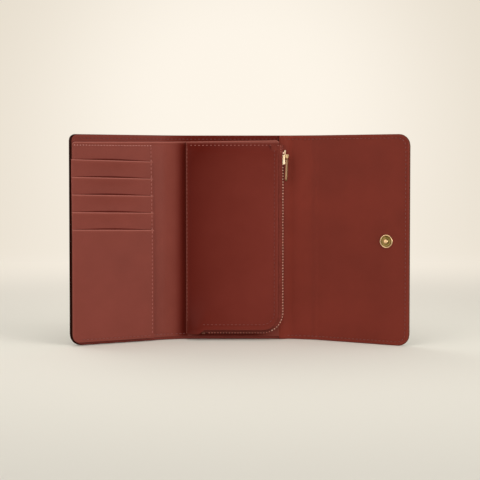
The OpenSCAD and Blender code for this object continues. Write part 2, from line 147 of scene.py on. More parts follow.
def mixed(tree, share, first, second):
    """The colour between two, each of them a plain colour or a node's output."""
    values, links = {}, {0: share}
    for socket, colour in ((6, first), (7, second)):
        if isinstance(colour, tuple):
            values[socket] = (*colour, 1)
        else:
            links[socket] = colour
    return add_node(tree, "ShaderNodeMix", values, links, data_type="RGBA").outputs[2]


def relief(tree, strength, depth, height, under=None):
    """The normal of a height that is depth millimetres deep, over the relief that lies under it."""
    links = {"Height": height}
    if under is not None:
        links["Normal"] = under
    return add_node(tree, "ShaderNodeBump", {"Strength": strength, "Distance": depth * MM},
                    links).outputs["Normal"]


def new_material(name):
    """A material with its node tree and its surface."""
    made = bpy.data.materials.new(name)
    made.use_nodes = True
    return made, made.node_tree, made.node_tree.nodes["Principled BSDF"]


grain, given, out = new_group("leather_grain", [("Cells", 2400.0), ("Clouds", 26.0)],
                              ["Height", "Cloud", "Wave"])
spot = add_node(grain, "ShaderNodeTexCoord").outputs["Object"]
cells = add_node(grain, "ShaderNodeTexVoronoi", {"Randomness": 1.0},
                 {"Vector": spot, "Scale": given.outputs["Cells"]}, feature="DISTANCE_TO_EDGE")
cell_edge = add_node(grain, "ShaderNodeMapRange", {"From Max": 0.18}, {"Value": cells.outputs["Distance"]})
fibre = add_node(grain, "ShaderNodeTexNoise", {"Scale": 900.0, "Detail": 4.0}, {"Vector": spot})
height = add_node(grain, "ShaderNodeMath", {1: 0.6},
                  {0: fibre.outputs["Fac"], 2: cell_edge.outputs["Result"]}, operation="MULTIPLY_ADD")
cloud = add_node(grain, "ShaderNodeTexNoise", {"Detail": 5.0, "Roughness": 0.6},
                 {"Vector": spot, "Scale": given.outputs["Clouds"]})
wave = add_node(grain, "ShaderNodeTexNoise", {"Scale": 22.0, "Detail": 1.0}, {"Vector": spot})
grain.links.new(height.outputs[0], out.inputs["Height"])
grain.links.new(cloud.outputs["Fac"], out.inputs["Cloud"])
grain.links.new(wave.outputs["Fac"], out.inputs["Wave"])


def leather(name, deep, light, rubbed_and_highlit, roughness, wave_height=0.25, gloss=0.05):
    """Dyed leather from its deep and light shades and the tone that wear and a painted highlight give
    its edges. Painted shade laid on its points darkens it."""
    made, tree, surface = new_material(name)
    surface.inputs["Specular IOR Level"].default_value = gloss
    skin = add_node(tree, "ShaderNodeGroup", node_tree=grain).outputs
    shade = add_node(tree, "ShaderNodeMapRange", {"From Min": 0.3, "From Max": 0.7}, {"Value": skin["Cloud"]})
    # Painted shade: a per-point amount darkens the dye towards a deep red.
    crease = add_node(tree, "ShaderNodeAttribute", attribute_name="crease")
    # Wear and painted highlight: another per-point amount lightens the dye towards the edge tone.
    wear_and_highlight = add_node(tree, "ShaderNodeAttribute", attribute_name="wear_and_highlight")
    dye = mixed(tree, shade.outputs["Result"], deep, light)
    dark = mixed(tree, crease.outputs["Fac"], dye, (0.085, 0.0065, 0.003))
    worn_and_highlit = mixed(tree, wear_and_highlight.outputs["Fac"], dark, rubbed_and_highlit)
    tree.links.new(worn_and_highlit, surface.inputs["Base Color"])
    sheen = add_node(tree, "ShaderNodeMapRange", {"From Min": 0.3, "From Max": 0.7,
                                                  "To Min": roughness - 0.05, "To Max": roughness + 0.07},
                     {"Value": skin["Cloud"]})
    tree.links.new(sheen.outputs["Result"], surface.inputs["Roughness"])
    soft = relief(tree, 1.0, wave_height, skin["Wave"])
    tree.links.new(relief(tree, 0.3, 0.03, skin["Height"], soft), surface.inputs["Normal"])
    return made


# Outer leather: one near-black brown piece round the whole wallet, 1.2 mm thick, with its cut edge
# painted. It is cut from four lengths here, which meet where a panel is flat.
SHELL_T = 1.2
CORNER_R = 8.5
TIGHT_CORNER_R = 4.5
PAINT_W = 1.6
NO_EDGE = 99
outer_leather = leather("outer_leather", (0.017, 0.0055, 0.0035), (0.029, 0.011, 0.007),
                        (0.06, 0.025, 0.016), 0.42, gloss=0.3)
dark_edge_paint = leather("dark_edge_paint", (0.024, 0.004, 0.002), (0.032, 0.006, 0.003),
                          (0.04, 0.008, 0.005), 0.5, 0.0)
edge_paint = leather("edge_paint", (0.085, 0.030, 0.017), (0.115, 0.042, 0.024),
                     (0.12, 0.055, 0.03), 0.4, 0.0)


def spaced(low, high, count):
    """Values from low to high in even steps."""
    return [low + (high - low) * i / count for i in range(count + 1)]


def stations(low, high, step, tight_ends=(True, True), bends=True):
    """Places from low to high, close together near the ends and the creases."""
    near = [0, 0.4, 0.8, 1.2, 1.7, 2.2, 2.7, 3.4, 4.3, 5.4, 6.8, 8.4]
    spots = {low, high}
    if tight_ends[0]:
        spots |= {low + x for x in near if low + x < high}
    if tight_ends[1]:
        spots |= {high - x for x in near if high - x > low}
    if bends:
        bent = {at + x * 0.75 for at, _ in crease_at for x in range(-6, 7)}
        spots |= {s for s in bent if low < s < high}
    spots |= set(spaced(low, high, max(1, round((high - low) / step))))
    kept = []
    for x in sorted(spots):
        if not kept or x - kept[-1] > 0.2:
            kept.append(x)
    kept[-1] = high
    return kept


def shown(name, shape, finishes, sharp_from=None):
    """A smooth object in the scene, from a bmesh or from its points and faces. Its edges are sharp
    from an angle in degrees upwards."""
    mesh = bpy.data.meshes.new(name)
    if isinstance(shape, tuple):
        mesh.from_pydata(shape[0], [], shape[1])
    else:
        shape.to_mesh(mesh)
        shape.free()
    for finish in finishes:
        mesh.materials.append(finish)
    for polygon in mesh.polygons:
        polygon.use_smooth = True
    if sharp_from:
        mesh.set_sharp_from_angle(angle=math.radians(sharp_from))
    piece = bpy.data.objects.new(name, mesh)
    bpy.context.scene.collection.objects.link(piece)
    return piece


def fitted(piece, slot, part, *nodes):
    """Hides the solids that a piece replaces and hands the piece to follow() with its part. The slot is not
    used.
    """
    if nodes:
        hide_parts(*nodes)
    follow(piece, part)


def sheet(name, span, rise, front, thick, finish, edge=0.3, corners=(0, 0, 0, 0), free=(True, True),
          step=3.0, bends=True, rim_finish=None, lining=None, worn_and_highlit=(0.1, 0.1, 0.1, 0.1), creased=None):
    """A leather sheet over s from span and z from rise, with rounded edges. front(s, z, inset) is
    its face's distance from the hide, corners are its radii at low s top, low s foot, high s top
    and high s foot, free says which of its ends are cut edges, the second last argument says how
    much wear and painted highlight lighten it at its low and high ends, its foot and its top, and
    the last one, a function of (s, z), says how much painted shade darkens its dye."""
    columns = stations(*span, step, free, bends)
    rows = stations(*rise, 4.0, bends=False)
    n, m = len(columns), len(rows)

    def ends(margin):
        return span[0] + margin * free[0], span[1] - margin * free[1]

    def limits(s, margin):
        """Top and foot of the sheet at s, inside its outline by a margin."""
        low, high = ends(margin)
        cut = [0, 0]
        for i, from_end in enumerate((s - low, s - low, high - s, high - s)):
            r = max(corners[i] - margin, 0)
            if from_end < r:
                cut[i % 2] = max(cut[i % 2], r - math.sqrt(max(r * r - (r - from_end) ** 2, 0)))
        return rise[1] - margin - cut[0], rise[0] + margin + cut[1]

    def spot_of(i, j, margin):
        low, high = ends(margin)
        s = low + (columns[i] - span[0]) / (span[1] - span[0]) * (high - low)
        top, foot = limits(s, margin)
        return s, foot + (rows[j] - rise[0]) / (rise[1] - rise[0]) * (top - foot)

    def sides(s, z):
        """Distances inside the low and high ends, the foot and the top."""
        top, foot = limits(s, 0)
        return (s - span[0] if free[0] else NO_EDGE, span[1] - s if free[1] else NO_EDGE, z - foot, top - z)

    def inset(s, z):
        return max(0, min(sides(s, z)))

    def skin(s, z):
        return front(s, z, inset(s, z))

    def back_skin(s, z):
        return lining(s, z) if lining else skin(s, z) - thick

    body = bmesh.new()
    # Per-point amounts: wear and painted highlight at the edges, and painted shade.
    wear_and_highlight = body.verts.layers.float.new("wear_and_highlight")
    crease = body.verts.layers.float.new("crease")

    def vert(s, d, z):
        made = body.verts.new(place(s, d, z))
        made[wear_and_highlight] = max(amount * math.exp(-max(x, 0) / 0.5) for x, amount in zip(sides(s, z), worn_and_highlit))
        made[crease] = creased(s, z) if creased else 0
        return made

    def face_grid(depth_of):
        spots = [[spot_of(i, j, edge) for j in range(m)] for i in range(n)]
        return [[vert(s, depth_of(s, z), z) for s, z in column] for column in spots]

    face, back = face_grid(skin), face_grid(back_skin)
    for i in range(n - 1):
        for j in range(m - 1):
            cell = body.faces.new((face[i][j], face[i + 1][j], face[i + 1][j + 1], face[i][j + 1]))
            near, far = inset(columns[i], rows[j]), inset(columns[i + 1], rows[j + 1])
            cell.material_index = int(bool(rim_finish) and near < PAINT_W and far < PAINT_W + 0.2)
            body.faces.new((back[i][j], back[i][j + 1], back[i + 1][j + 1], back[i + 1][j]))
    loop = [(i, 0) for i in range(n)] + [(n - 1, j) for j in range(1, m)]
    loop += [(i, m - 1) for i in range(n - 2, -1, -1)] + [(0, j) for j in range(m - 2, 0, -1)]

    def rim_ring(turn):
        ring = []
        for i, j in loop:
            s, z = spot_of(i, j, edge * (1 - math.cos(turn)))
            middle = (skin(s, z) + back_skin(s, z)) / 2
            ring.append(vert(s, middle + (skin(s, z) - middle) * math.sin(turn), z))
        return ring

    rings = [[face[i][j] for i, j in loop]]
    rings += [rim_ring(math.radians(a)) for a in (50, 20, -20, -50)]
    rings.append([back[i][j] for i, j in loop])
    for first, second in zip(rings, rings[1:]):
        for q in range(len(loop)):
            r = (q + 1) % len(loop)
            made = body.faces.new((first[q], second[q], second[r], first[r]))
            made.material_index = int(bool(rim_finish))
    return shown(name, body, [finish, rim_finish] if rim_finish else [finish], 60)


def shell_face(s, z, inset):
    return 0.0


def shell_back(s, z):
    return -SHELL_T


half_spine, half_middle = -spine_w / 2, middle_w / 2
half_right = middle_w + right_spine_w / 2
for name, span, corners, free, part, rim, nodes in (
        ("outer_card_wing", (wing_end, half_spine), (TIGHT_CORNER_R, CORNER_R, 0, 0), (True, False),
         "wing_crease", dark_edge_paint, ["shell_card_wing"]),
        ("outer_middle_left", (half_spine, half_middle), (0, 0, 0, 0), (False, False),
         "left_crease", edge_paint, ["shell_middle", "shell_left_spine"]),
        ("outer_middle_right", (half_middle, half_right), (0, 0, 0, 0), (False, False),
         "right_crease", edge_paint, ["shell_right_spine"]),
        ("outer_flap", (half_right, flap_end), (0, 0, CORNER_R, CORNER_R), (False, True),
         "flap_crease", edge_paint, ["shell_flap"])):
    piece = sheet(name, span, (0, panel_h), shell_face, SHELL_T, outer_leather, 0.3, corners, free,
                  rim_finish=rim, lining=shell_back)
    fitted(piece, "outer_leather", part, *nodes)


# Stiffeners: bonded leather board glued between the outer leather and the lining of each flat
# panel. Only their cut edges could ever be seen, so the solids stay.
def finish_solid(node, finish):
    materials = frame["nodes"][node].data.materials
    materials.clear()
    materials.append(finish)


board = leather("leather_board", (0.060, 0.032, 0.018), (0.085, 0.046, 0.028), (0.085, 0.046, 0.028),
                0.8, 0.0)
for node in ("board_middle", "board_card_wing", "board_flap"):
    finish_solid(node, board)

# Bill lining: thin dark red leather on the back wall of the note compartment, seen above the
# divider. It runs from the card wing to the middle panel, under the lining of the flap.
LINING_T = 0.4
LINING_FACE = 1.0
EDGE_MARGIN = 0.25
WING_MARGIN = 1.5
SEAM_IN = 2.4
lining_rise = (EDGE_MARGIN, panel_h - EDGE_MARGIN)
lining_corner = CORNER_R - EDGE_MARGIN
wing_lining_end = wing_end + WING_MARGIN
# The red leathers here are copies of one leather, each toned for how its panel is lit: painted light and
# shade.
bill_leather = leather("bill_lining_leather", (0.143, 0.0265, 0.019), (0.163, 0.0325, 0.024),
                       (0.22, 0.06, 0.05), 0.45)


def clamp(x):
    return min(max(x, 0), 1)


def smooth(x):
    """Zero up to one with a soft start and end, as x goes from zero to one."""
    x = clamp(x)
    return x * x * (3 - 2 * x)


def bead(inset, swell):
    """The low roll between a turned edge and the seam that holds it down."""
    groove = 0.1 * math.exp(-((inset - SEAM_IN) / 0.35) ** 2)
    return swell * math.sin(math.pi * min(inset / SEAM_IN, 1)) - groove


def bill_creased(s, z):
    """Painted shade: the lining darkens from the wing towards the middle panel, and from 20 mm up its height.
    """
    return 0.8 * smooth((s + spine_w + 6) / (spine_w + 10)) * clamp((z - 20) / 40)


def bill_face(s, z, inset):
    return LINING_FACE + bead(inset, 0.05)


for name, span, corners, free, part, nodes in (
        ("bill_lining_wing", (wing_lining_end, half_spine),
         (TIGHT_CORNER_R - EDGE_MARGIN, lining_corner, 0, 0), (True, False),
         "wing_crease", ["bill_lining_card_wing"]),
        ("bill_lining_middle_left", (half_spine, middle_w - 3), (0, 0, 0, 0), (False, True),
         "left_crease", ["bill_lining_middle", "bill_lining_left_spine"])):
    piece = sheet(name, span, lining_rise, bill_face, LINING_T, bill_leather, 0.15, corners, free,
                  creased=bill_creased)
    fitted(piece, "red_leather", part, *nodes)


# Flap lining: the smooth red leather right of the zip. It is glued to the board and turned and
# sewn down round the flap, over the outer leather. Beside the zip it steps up over the divider.
def middle_s(x):
    """How far along the hide a place on the middle panel is, from its x in the frame."""
    return (x - left_crease.x) / MM


SPINE_LINING_FACE = 0.5
ZIP_STEP = 1.56
flap_lining_start = middle_s(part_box("bill_divider")[1].x) - 0.35
# The flap's copy is toned up for the flap's dimmer light, as painted light.
flap_leather = leather("flap_leather", (0.164, 0.0268, 0.0172), (0.196, 0.0325, 0.021),
                       (0.27, 0.07, 0.05), 0.40)


def flap_lining_face(s, z, inset):
    by_zip = ZIP_STEP * smooth((middle_w + 2.5 - s) / 10)
    on_flap = (LINING_FACE + 0.05 - SPINE_LINING_FACE) * smooth((s - flap_start + 5) / 5)
    return SPINE_LINING_FACE + by_zip + on_flap + bead(inset, 0.06)


for name, span, corners, free, part, node in (
        ("flap_lining_middle", (flap_lining_start, half_right), (0, 0, 0, 0), (True, False),
         "right_crease", "lining_right_spine"),
        ("flap_lining_flap", (half_right, flap_end - EDGE_MARGIN), (0, 0, lining_corner, lining_corner),
         (False, True), "flap_crease", "lining_flap")):
    piece = sheet(name, span, lining_rise, flap_lining_face, LINING_T, flap_leather, 0.18, corners, free,
                  worn_and_highlit=(0, 0.25, 0.15, 0.15))
    fitted(piece, "red_leather", part, node)

# Bill divider: the red leather layer in front of the note compartment. Its top edge is turned
# over and shows as a pale line below the wallet's top, lightened by wear and painted highlight. It
# carries the pockets of both sides.
DIVIDER_FACE = 2.0
DIVIDER_T = 0.5
UPHILL = 1.9
divider_foot, divider_top = (corner.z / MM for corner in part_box("bill_divider"))
divider_end = middle_s(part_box("bill_divider")[1].x)
wing_leather = leather("wing_leather", (0.165, 0.0374, 0.0272), (0.195, 0.0452, 0.0332),
                       (0.40, 0.14, 0.11), 0.40)


def divider_creased(s, z):
    """Painted shade: in the fold beside the coin pocket, where the pocket shadows it, and under the pocket's
    overhang.
    """
    fold = math.exp(-(max(-s - 0.5, 0) / 5.5) ** 2) * (1 if s < 2.5 else 0)
    under_pocket_shade = 0.95 * clamp((9 - z) / 5) * clamp((s - 1) / 8) * clamp((66 - s) / 14)
    return max(fold, under_pocket_shade)


def divider_lift(spot):
    """The divider's top runs a little uphill from the wing's free edge to the zip, in millimetres."""
    wing_free = place(wing_end, 0, 0).x
    along = (spot.x - wing_free) / (place(divider_end, 0, 0).x - wing_free)
    return (UPHILL * along - 0.8) * clamp((spot.z / MM - divider_top + 12) / 12)


def divider_face(s, z, inset):
    turned_edge = 0.25 * math.exp(-((divider_top - z - 0.6) / 0.6) ** 2)
    return DIVIDER_FACE + turned_edge + bead(inset, 0.08)


for name, span, corners, free, part, nodes in (
        ("divider_wing", (wing_lining_end, half_spine), (2.0, CORNER_R - 2.4, 0, 0), (True, False),
         "wing_crease", ["card_panel", "divider_left_spine"]),
        ("divider_middle", (half_spine, divider_end), (0, 0, 2.5, 0), (False, True),
         "left_crease", ["bill_divider"])):
    piece = sheet(name, span, (divider_foot, divider_top), divider_face, DIVIDER_T, wing_leather,
                  0.22, corners, free, worn_and_highlit=(0.2, 0.0, 0.2, 1.0), creased=divider_creased)
    for v in piece.data.vertices:
        v.co.z += divider_lift(v.co) * MM
    fitted(piece, "red_leather", part, *nodes)


# Card pockets: five strips of thin red leather on the card wing, each with its mouth turned over.
# Sewn at their sides, they gape a little in the middle, where a near-black lining sheet shows as
# painted shade. Their mouths are lightened by wear and painted highlight.
def wing_s(spot):
    """How far along the hide a point on the card wing is."""
    return -spine_w - (spot - wing_crease).dot(-panel_run[0]) / MM


CARD_COUNT = 5
CARD_T = 0.4
CARD_STEP = 0.45
CARD_SIDE = 9.9
CARD_LINING_H = 6
MOUTH_FALL = 1.5
card_near = -spine_w - CARD_SIDE
card_far = -spine_w - reach("card_pocket_3", wing_crease, -panel_run[0]) - 1.4
# Near-black dye for the sheet behind each mouth, as painted shade.
card_mouth_shade = leather("card_mouth_shade", (0.075, 0.009, 0.006), (0.095, 0.013, 0.009),
                      (0.095, 0.013, 0.009), 0.6)


def arch(s):
    """One in the middle of a pocket's mouth, none at its sewn sides."""
    return math.sin(math.pi * clamp((s - card_far) / (card_near - card_far))) ** 1.4


def mouth_dip(spot):
    """The mouths run a little downhill towards the spine."""
    return MOUTH_FALL * (wing_s(spot) - card_far) / (card_near - card_far)


def card_pocket(i):
    """One pocket's strip, and the dark lining behind its mouth, which is painted shade. Gives the mouth's
    height and the face.
    """
    node = f"card_pocket_{i + 1}"
    foot, mouth = (corner.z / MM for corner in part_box(node))
    face_d = DIVIDER_FACE + 0.05 + CARD_STEP * (i + 1)
    gape = min(0.7, 0.14 + CARD_STEP * (CARD_COUNT - 1 - i))
    foot_corner = 5.0 if i == CARD_COUNT - 1 else 0

    def strip_face(s, z, inset):
        turned_edge = 0.17 * math.exp(-((mouth - z - 0.55) / 0.6) ** 2)
        return face_d + turned_edge + gape * arch(s) * math.exp(-((mouth - z) / 5.0) ** 2)

    def lining_face(s, z, inset):
        return face_d - CARD_T - 0.04 + 0.25 * arch(s)

    strip = sheet(f"{node}_front", (card_far, card_near), (foot, mouth), strip_face, CARD_T, wing_leather,
                  0.18, (0, foot_corner, 0, 0), bends=False, worn_and_highlit=(0.25, 0, 0.1, 1.0))
    for v in strip.data.vertices:
        v.co.z -= mouth_dip(v.co) * (v.co.z - foot * MM) / (mouth - foot)
    fitted(strip, "red_leather", "card_wing", node)
    lining = sheet(f"{node}_lining", (card_far + 0.5, card_near - 0.5), (mouth - CARD_LINING_H, mouth - 0.2),
                   lining_face, 0.15, card_mouth_shade, 0.06, bends=False)
    for v in lining.data.vertices:
        near_mouth = max(0, (v.co.z / MM - mouth + CARD_LINING_H) / CARD_LINING_H)
        v.co.z += ((0.5 + 0.9 * arch(wing_s(v.co))) * near_mouth - mouth_dip(v.co)) * MM
    fitted(lining, "red_leather", "card_wing")
    return mouth, face_d


card_pockets = [card_pocket(i) for i in range(CARD_COUNT)]

# Coin pocket: a flat bag of red leather with a cloth lining. It is sewn down along its top and its
# left side, where its front rolls over, and its other two sides open with the zip.
COIN_T = 0.7
COIN_CORNER_R = 11.2
COIN_REACH = 1.5
BAG_INSET = 5.05
coin_low, coin_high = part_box("coin_pocket_front")
coin_left = middle_s(coin_low.x) - 0.9
coin_right = middle_s(coin_high.x)
coin_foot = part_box("coin_pocket_front_lining")[0].z / MM - BAG_INSET
coin_top = divider_top
coin_front = (left_crease.y - coin_low.y) / MM
coin_edge = DIVIDER_FACE + 0.05 + COIN_T
foot_raise = coin_low.z / MM - (coin_foot - COIN_REACH) - 0.9
zip_start = middle_s(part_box("zip_end_stop")[0].x) + 1.1
# The coin pocket's copy is set darker, as painted shade.
coin_leather = leather("coin_leather", (0.146, 0.0248, 0.0172), (0.171, 0.030, 0.021),
                       (0.38, 0.12, 0.09), 0.36, 0.35)


def ease(x):
    return 1 - (1 - clamp(x)) ** 2


def roll(x):
    return math.sqrt(1 - (1 - clamp(x)) ** 2)


def coin_depth(s, z):
    """The front's face: a quick roll at the sewn edges, then a low dome up to the zip."""
    spread = 50 - 38 * smooth((40 - z) / 30)
    side = 0.34 * roll((s - coin_left) / 1.8) + 0.66 * ease((s - coin_left) / spread)
    top = 0.35 * roll((coin_top - z) / 1.5) + 0.65 * ease((coin_top - z) / 11)
    return coin_edge + (coin_front - coin_edge) * side * top


def coin_creased(s, z):
    """Painted shade, deepest at the front's rolled-over left edge and at its top."""
    left = 0.92 * math.exp(-(s - coin_left) / 28)
    top = 0.55 * math.exp(-(coin_top - z) / 12)
    return min(left + top, 0.95)


def coin_face(s, z, inset):
    edge_roll = 0.18 * math.exp(-((inset - 0.7) / 0.8) ** 2) - 0.12 * math.exp(-((inset - 2.6) / 0.4) ** 2)
    return coin_depth(s, z) + edge_roll


# The front is lightened at its left and top edges by wear and painted highlight, and darkened towards them by
# painted shade.
coin = sheet("coin_pocket_leather", (coin_left, coin_right), (coin_foot - COIN_REACH, coin_top), coin_face,
             COIN_T, coin_leather, 0.3, (0, 0, 0, COIN_CORNER_R), step=2.0, bends=False,
             worn_and_highlit=(0.9, 0.1, 0.1, 0.9), creased=coin_creased)
for v in coin.data.vertices:
    past_zip = smooth((zip_start + 1.2 - middle_s(v.co.x)) / 5)
    near_foot = clamp((coin_foot + 12 - v.co.z / MM) / 12)
    v.co.z += foot_raise * MM * past_zip * near_foot ** 2
fitted(coin, "red_leather", "middle_panel", "coin_pocket_front")

# Cloth: the coin pocket's lining and the zip's tapes are dark red twill.
# The group gives the height of its crossed yarns and how much of each yarn is in shade.
weave, given, out = new_group("twill", [("Yarns", 2200.0)], ["Height", "Shade"])
spot = add_node(weave, "ShaderNodeTexCoord").outputs["Object"]
yarns = []
for direction, offset in (("DIAGONAL", 0.0), ("Z", 0.4)):
    yarn = add_node(weave, "ShaderNodeTexWave", {"Distortion": 0.6, "Detail": 1.0, "Phase Offset": offset},
                    {"Vector": spot, "Scale": given.outputs["Yarns"]},
                    bands_direction=direction, wave_type="BANDS")
    yarns.append(yarn.outputs["Fac"])
crossed = add_node(weave, "ShaderNodeMath", {}, {0: yarns[0], 1: yarns[1]}, operation="MAXIMUM")
lint = add_node(weave, "ShaderNodeTexNoise", {"Scale": 320.0, "Detail": 3.0}, {"Vector": spot})
shade = add_node(weave, "ShaderNodeMath", {}, {0: crossed.outputs[0], 1: lint.outputs["Fac"]},
                 operation="MULTIPLY")
weave.links.new(crossed.outputs[0], out.inputs["Height"])
weave.links.new(shade.outputs[0], out.inputs["Shade"])


def cloth(name, deep, light, yarns_per_m):
    """Woven cloth from the shade between its yarns and the shade of their crowns. It is darker
    where painted shade is laid on its points."""
    made, tree, surface = new_material(name)
    surface.inputs["Roughness"].default_value = 0.82
    surface.inputs["Sheen Weight"].default_value = 0.03
    surface.inputs["Specular IOR Level"].default_value = 0.12
    twill = add_node(tree, "ShaderNodeGroup", node_tree=weave)
    twill.inputs["Yarns"].default_value = yarns_per_m
    crease = add_node(tree, "ShaderNodeAttribute", attribute_name="crease")
    dye = mixed(tree, twill.outputs["Shade"], deep, light)
    dark = mixed(tree, crease.outputs["Fac"], dye, tuple(tint * 0.45 for tint in deep))
    tree.links.new(dark, surface.inputs["Base Color"])
    tree.links.new(relief(tree, 0.6, 0.12, twill.outputs["Height"]), surface.inputs["Normal"])
    return made


lining_cloth = cloth("lining_cloth", (0.05, 0.012, 0.010), (0.13, 0.035, 0.028), 900.0)


def bag_face(s, z, inset):
    return coin_depth(s, z) - COIN_T - 0.08


bag = sheet("coin_pocket_bag", (coin_left + 0.4, coin_right - BAG_INSET),
            (coin_foot + BAG_INSET, coin_top - 0.3), bag_face, 0.3, lining_cloth, 0.1,
            (0, 0, 0, COIN_CORNER_R - BAG_INSET), bends=False)
fitted(bag, "cloth", "middle_panel", "coin_pocket_front_lining")
finish_solid("coin_pocket_back", lining_cloth)

# Zip tapes: two woven tapes, each with a cord along its edge for the teeth to grip. They run down
# the coin pocket's right side, round its corner and along its foot, and lean towards the reader.
CORNER_RADIUS = 14.7
PIN_OUT = 3.5
CHAIN_HALF = 2.1
TAPE_T = 0.4
TAPE_SEWN = 5.0
TAPE_END = 5.2
TAPE_STEPS = 150
BEAD_HALF = 0.6
CORD_AT = 1.5
pull_axis = Vector(hinge["pull_swing"]["axis"])
pull_pin = Vector(hinge["pull_swing"]["pos_m"])
lean = math.atan2(-pull_axis.x, -pull_axis.y)
chain_s = middle_s(pull_pin.x) - PIN_OUT * math.cos(lean)
chain_d = (left_crease.y - pull_pin.y) / MM - PIN_OUT * math.sin(lean)
zip_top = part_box("zip_top_stops")[1].z / MM + 0.2
zip_foot = sum(corner.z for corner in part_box("zip_end_stop")) / 2 / MM
down_l = zip_top - zip_foot - CORNER_RADIUS
turn_l = math.pi / 2 * CORNER_RADIUS
zip_l = down_l + turn_l + chain_s - CORNER_RADIUS - zip_start
tape_cloth = cloth("tape_cloth", (0.10, 0.014, 0.009), (0.24, 0.045, 0.030), 1300.0)


def zip_place(l, u, v):
    """The point l along the zip from its top, u out of the chain's face and v towards its front."""
    out_by = u * math.cos(lean) - v * math.sin(lean)
    d = chain_d + u * math.sin(lean) + v * math.cos(lean)
    if l < down_l:
        return place(chain_s + out_by, d, zip_top - l)
    angle = min((l - down_l) / CORNER_RADIUS, math.pi / 2)
    past = max(l - down_l - turn_l, 0)
    r = CORNER_RADIUS + out_by
    return place(chain_s - CORNER_RADIUS - past + r * math.cos(angle), d,
                 zip_top - down_l - r * math.sin(angle))


def tape_profile(side):
    """A tape's section from its corded edge to where it is sewn: u, v and half its thickness in
    each of the two directions."""
    flat_d = (coin_front - COIN_T - 0.3) if side > 0 else DIVIDER_FACE + 0.28
    points = [(0, side * (CORD_AT + BEAD_HALF * x), max(BEAD_HALF * math.sqrt(1 - x * x), TAPE_T / 2), 0)
              for x in (-0.95, -0.7, -0.35, 0, 0.35, 0.7, 0.95)]
    points.append((0, (flat_d - chain_d) / math.cos(lean) - side * 0.5, TAPE_T / 2, 0))
    for x in (0.6, 2.0, 3.5, 5.5, chain_s - coin_right + TAPE_SEWN):
        v = (flat_d - chain_d) * math.cos(lean) + x * math.sin(lean)
        u = (flat_d - chain_d) * math.sin(lean) - x * math.cos(lean)
        points.append((u, v, 0.04, TAPE_T / 2))
    return points


for name, side, node in (("zip_tape_front_cloth", 1, "zip_tape_front"),
                         ("zip_tape_back_cloth", -1, "zip_tape_back")):
    body = bmesh.new()
    crease = body.verts.layers.float.new("crease")
    loops = []
    for l in spaced(-TAPE_END, zip_l + 1.5, TAPE_STEPS):
        ring = []
        for way in (1, -1):
            row = [body.verts.new(zip_place(l, u + way * out_half, v + way * face_half))
                   for u, v, out_half, face_half in tape_profile(side)]
            ring += row if way > 0 else row[::-1]
        for v in ring:
            # Painted shade along the tape's run at the pocket's foot, under the front's overhang.
            v[crease] = 0.6 * smooth((l - down_l - turn_l * 0.3) / (turn_l * 0.7))
        loops.append(ring)
    for first, second in zip(loops, loops[1:]):
        for q in range(len(first)):
            r = (q + 1) % len(first)
            body.faces.new((first[q], first[r], second[r], second[q]))
    body.faces.new(loops[0][::-1])
    body.faces.new(loops[-1])
    body.normal_update()
    bmesh.ops.recalc_face_normals(body, faces=body.faces)
    fitted(shown(name, body, [tape_cloth], 50), "cloth", "middle_panel", node)


# Brass: the zip's teeth, slider and pull and the snap are warm polished brass with fine scratches,
# and it is duller and redder in random patches. The slider's copy is lighter, as painted highlight;
# the front row of teeth is a lighter copy, as painted light, and the back row, the teeth along the
# foot, the end stop and the snap stud's sunken ring are darker copies, as painted shade.
def brass(name, colour, dark, roughness):
    made, tree, surface = new_material(name)
    spot = add_node(tree, "ShaderNodeTexCoord").outputs["Object"]
    surface.inputs["Metallic"].default_value = 1.0
    tarnish = add_node(tree, "ShaderNodeTexNoise", {"Scale": 260.0, "Detail": 6.0, "Roughness": 0.65},
                       {"Vector": spot})
    tone = add_node(tree, "ShaderNodeMapRange", {"From Min": 0.35, "From Max": 0.65},
                    {"Value": tarnish.outputs["Fac"]}).outputs["Result"]
    tree.links.new(mixed(tree, tone, dark, colour), surface.inputs["Base Color"])
    dull = add_node(tree, "ShaderNodeMapRange", {"To Min": roughness + 0.1, "To Max": roughness},
                    {"Value": tone})
    tree.links.new(dull.outputs["Result"], surface.inputs["Roughness"])
    stretched = add_node(tree, "ShaderNodeMapping", {"Scale": (4000, 4000, 400)}, {"Vector": spot})
    scratches = add_node(tree, "ShaderNodeTexNoise", {"Scale": 1.0, "Detail": 3.0},
                         {"Vector": stretched.outputs["Vector"]})
    tree.links.new(relief(tree, 0.25, 0.01, scratches.outputs["Fac"]), surface.inputs["Normal"])
    return made


snap_brass = brass("snap_brass", (0.80, 0.58, 0.34), (0.62, 0.41, 0.21), 0.25)
# The slider's copy is lighter, as painted highlight; the copies for the back row, the snap's sunken ring and
# the foot teeth are darker, as painted shade, and the front teeth's copy is lit, as painted light.
slider_highlight_brass = brass("slider_highlight_brass", (0.95, 0.80, 0.58), (0.86, 0.64, 0.40), 0.3)
pull_brass = brass("pull_brass", (0.46, 0.28, 0.17), (0.32, 0.19, 0.09), 0.34)
painted_shade_brass = brass("painted_shade_tooth_brass", (0.26, 0.11, 0.07), (0.16, 0.06, 0.04), 0.5)
recess_shade_brass = brass("recess_shade_brass", (0.34, 0.24, 0.08), (0.20, 0.14, 0.04), 0.4)
lit_tooth_brass = brass("lit_tooth_brass", (1.0, 0.70, 0.56), (0.88, 0.56, 0.43), 0.40)
foot_painted_shade_brass = brass("foot_painted_shade_brass", (0.70, 0.26, 0.20), (0.52, 0.17, 0.12), 0.45)

# Zip teeth: small brass teeth, each clamped on its tape's cord. The two rows stand half a pitch
# apart, and a stop closes each end.
TOOTH_PITCH = 2.1
FIRST_TOOTH = 3.2
LAST_TOOTH = 2.2
LIT_TOOTH_SHARE = 0.75


